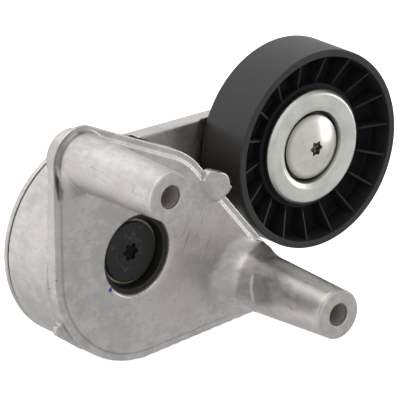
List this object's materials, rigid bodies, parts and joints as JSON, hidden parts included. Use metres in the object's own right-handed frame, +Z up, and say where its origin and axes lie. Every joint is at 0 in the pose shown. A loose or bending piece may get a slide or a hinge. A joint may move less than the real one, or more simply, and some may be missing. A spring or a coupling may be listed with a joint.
{
  "type": "belt tensioner",
  "caption": "Automatic belt tensioner: cast base with spring drum and long mounting standoffs, sprung swing arm, and a ribbed smooth-face idler pulley on a sealed bearing.",
  "frame": {"origin": "centre of the upper mounting bore on its seating face", "axes": "+X towards the pulley side, +Y from the seating face towards the drum and arm, +Z up"},
  "size_m": [0.1622, 0.0862, 0.0987],
  "materials": {
    "cast_aluminium": "as-cast, light grey",
    "arm_aluminium": "as-cast, light grey",
    "black_nylon": "moulded glass-filled nylon",
    "zinc_sheet": "zinc plated, satin",
    "bolt_zinc": "zinc plated, satin",
    "black_steel": "black phosphated",
    "yellow_zinc": "yellow zinc plated",
    "bearing_steel": "ground",
    "bush_polymer": "moulded bearing polymer",
    "seal_rubber": "moulded rubber",
    "spring_steel": "oil-tempered wire",
    "cage_nylon": "natural nylon"
  },
  "bodies": {
    "base": {"base_housing": "cast_aluminium", "upper_standoff": "cast_aluminium", "lower_standoff": "cast_aluminium", "seal_ring": "bush_polymer", "front_bush": "bush_polymer", "pivot_bush": "bush_polymer", "thrust_washer": "bush_polymer", "spring_seat": "bush_polymer", "spring_guide": "bush_polymer", "torsion_spring": "spring_steel"},
    "arm": {"tensioner_arm": "arm_aluminium", "pivot_shaft": "bearing_steel", "pivot_bolt": "black_steel", "retaining_washer": "yellow_zinc", "friction_shoe": "bush_polymer", "bearing_sleeve": "bearing_steel", "bearing_inner_ring": "bearing_steel", "dust_shield_front": "zinc_sheet", "dust_shield_rear": "zinc_sheet", "pulley_bolt": "bolt_zinc"},
    "pulley": {"pulley_body": "black_nylon", "pulley_insert": "bearing_steel", "bearing_outer_ring": "bearing_steel", "bearing_seal_front": "seal_rubber", "bearing_seal_rear": "seal_rubber"},
    "ball_set": {"bearing_cage": "cage_nylon", "bearing_balls": "bearing_steel"}
  },
  "joints": [
    {"name": "arm_swing", "type": "hinge", "parent": "base", "child": "arm", "pos_m": [0.0257, 0.066, -0.0424], "axis": [0, -1, 0], "range_deg": [0, 33], "stiffness_Nm_per_rad": 23, "springref_deg": -29.79},
    {"name": "pulley_spin", "type": "hinge", "parent": "arm", "child": "pulley", "pos_m": [0.1118, 0.0607, -0.0221], "axis": [0, -1, 0], "continuous": true},
    {"name": "ball_set_spin", "type": "hinge", "parent": "arm", "child": "ball_set", "pos_m": [0.1118, 0.0623, -0.0221], "axis": [0, -1, 0], "continuous": true}
  ],
  "couplings": [
    {"joint": "ball_set_spin", "follows": "pulley_spin", "ratio": 0.618}
  ]
}
